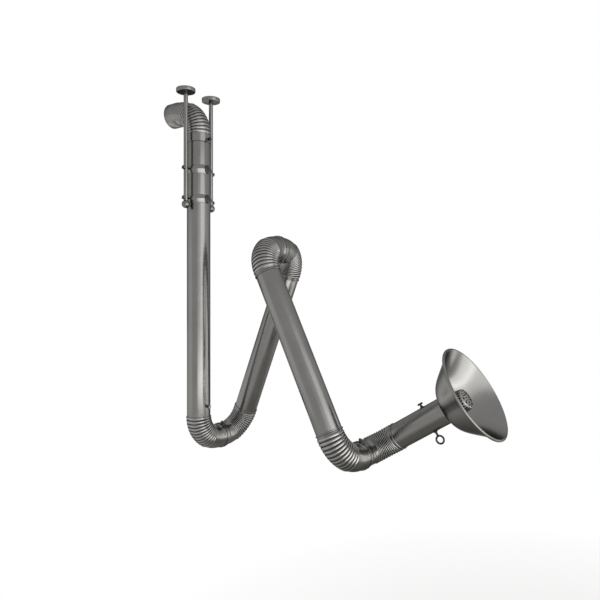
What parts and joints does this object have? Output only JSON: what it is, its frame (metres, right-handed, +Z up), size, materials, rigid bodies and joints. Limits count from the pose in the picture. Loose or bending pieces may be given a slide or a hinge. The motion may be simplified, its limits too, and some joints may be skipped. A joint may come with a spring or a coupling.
{
  "type": "fume extraction arm",
  "caption": "Ceiling-hung fume extraction arm in satin stainless steel: ribbed elbow swivels fold three ducts and turn a flared hood with a guard and a damper.",
  "frame": {"origin": "on the axis of the riser, in the plane of the ceiling that the two discs are fastened to", "axes": "+Z up; +X from the riser towards the hood in the rest pose; +Y along the axes of the three folding swivels"},
  "size_m": [1.511, 0.6114, 1.6976],
  "materials": {
    "satin_stainless": "satin stainless sheet, brushed along the ducts",
    "polished_stainless": "bright turned stainless",
    "dark_zinc_steel": "dark plated steel",
    "black_nylon": "matt black nylon",
    "black_rubber": "soft black rubber",
    "white_slip_plastic": "smooth white slip plastic"
  },
  "bodies": {
    "ceiling_hanger": {"ceiling_disc_front": "satin_stainless", "hanger_rod_front": "satin_stainless", "rod_end_ball_front": "polished_stainless", "ceiling_disc_rear": "satin_stainless", "hanger_rod_rear": "satin_stainless", "rod_end_ball_rear": "polished_stainless", "guide_ring_upper": "satin_stainless", "guide_cap_upper": "black_nylon", "guide_ring_lower": "satin_stainless", "guide_cap_lower": "black_nylon", "guide_stud_upper_front": "dark_zinc_steel", "guide_nut_upper_front": "polished_stainless", "guide_stud_lower_front": "dark_zinc_steel", "guide_nut_lower_front": "polished_stainless", "guide_stud_upper_rear": "dark_zinc_steel", "guide_nut_upper_rear": "polished_stainless", "guide_stud_lower_rear": "dark_zinc_steel", "guide_nut_lower_rear": "polished_stainless", "outlet_elbow": "satin_stainless", "riser_top_seal": "black_rubber"},
    "riser_lock": {"riser_lock_screw": "dark_zinc_steel"},
    "riser": {"riser_tube": "satin_stainless", "riser_elbow": "satin_stainless"},
    "sleeve_lock": {"sleeve_screw": "dark_zinc_steel"},
    "lower_arm": {"lower_arm_foot_elbow": "satin_stainless", "lower_swivel_slip_ring": "white_slip_plastic", "lower_swivel_clamp_band": "satin_stainless", "lower_arm_tube": "satin_stainless", "lower_arm_head_elbow": "satin_stainless"},
    "lower_clamp": {"lower_swivel_clamp_screw": "dark_zinc_steel"},
    "upper_arm": {"upper_arm_head_elbow": "satin_stainless", "upper_swivel_slip_ring": "white_slip_plastic", "upper_swivel_clamp_band": "satin_stainless", "upper_arm_tube": "satin_stainless", "upper_arm_wrist_elbow": "satin_stainless"},
    "upper_clamp": {"upper_swivel_clamp_screw": "dark_zinc_steel"},
    "hood": {"hood_elbow": "satin_stainless", "wrist_swivel_slip_ring": "white_slip_plastic", "wrist_swivel_clamp_band": "satin_stainless", "hood_tube": "satin_stainless", "hood_bowl": "satin_stainless", "guard_basket": "satin_stainless", "damper_bush_knob_side": "black_nylon", "damper_bush_eye_side": "black_nylon"},
    "wrist_clamp": {"wrist_swivel_clamp_screw": "dark_zinc_steel"},
    "damper": {"damper_shaft": "polished_stainless", "damper_blade": "satin_stainless", "blade_screw_knob_side": "polished_stainless", "blade_screw_eye_side": "polished_stainless", "damper_knob": "dark_zinc_steel", "damper_eye": "dark_zinc_steel"}
  },
  "joints": [
    {"name": "riser_swivel", "type": "hinge", "parent": "ceiling_hanger", "child": "riser", "pos_m": [0, 0, -0.434], "axis": [0, 0, 1], "continuous": true},
    {"name": "lower_swivel", "type": "hinge", "parent": "riser", "child": "lower_arm", "pos_m": [0, 0.1403, -1.638], "axis": [0, 1, 0], "range_deg": [-10, 53]},
    {"name": "upper_swivel", "type": "hinge", "parent": "lower_arm", "child": "upper_arm", "pos_m": [0.35874, 0.1447, -0.74108], "axis": [0, -1, 0], "range_deg": [-22, 52]},
    {"name": "wrist_swivel", "type": "hinge", "parent": "upper_arm", "child": "hood", "pos_m": [0.78353, 0.1403, -1.61979], "axis": [0, 1, 0], "range_deg": [-30, 120]},
    {"name": "damper_turn", "type": "hinge", "parent": "hood", "child": "damper", "pos_m": [1.02868, 0.285, -1.46301], "axis": [-0.5388, 0, 0.8425], "range_deg": [0, 90]},
    {"name": "riser_lock_turn", "type": "hinge", "parent": "ceiling_hanger", "child": "riser_lock", "pos_m": [0.07, 0, -0.225], "axis": [1, 0, 0], "range_deg": [0, 360]},
    {"name": "sleeve_lock_turn", "type": "hinge", "parent": "riser", "child": "sleeve_lock", "pos_m": [0.07, 0, -1.47], "axis": [1, 0, 0], "range_deg": [0, 360]},
    {"name": "lower_clamp_turn", "type": "hinge", "parent": "lower_arm", "child": "lower_clamp", "pos_m": [0.02457, 0.1461, -1.57657], "axis": [-0.9285, 0, 0.3714], "range_deg": [0, 720]},
    {"name": "upper_clamp_turn", "type": "hinge", "parent": "upper_arm", "child": "upper_clamp", "pos_m": [0.38754, 0.1389, -0.80065], "axis": [-0.9003, 0, -0.4352], "range_deg": [0, 720]},
    {"name": "wrist_clamp_turn", "type": "hinge", "parent": "hood", "child": "wrist_clamp", "pos_m": [0.79773, 0.1461, -1.55517], "axis": [-0.9767, 0, 0.2147], "range_deg": [0, 720]}
  ]
}
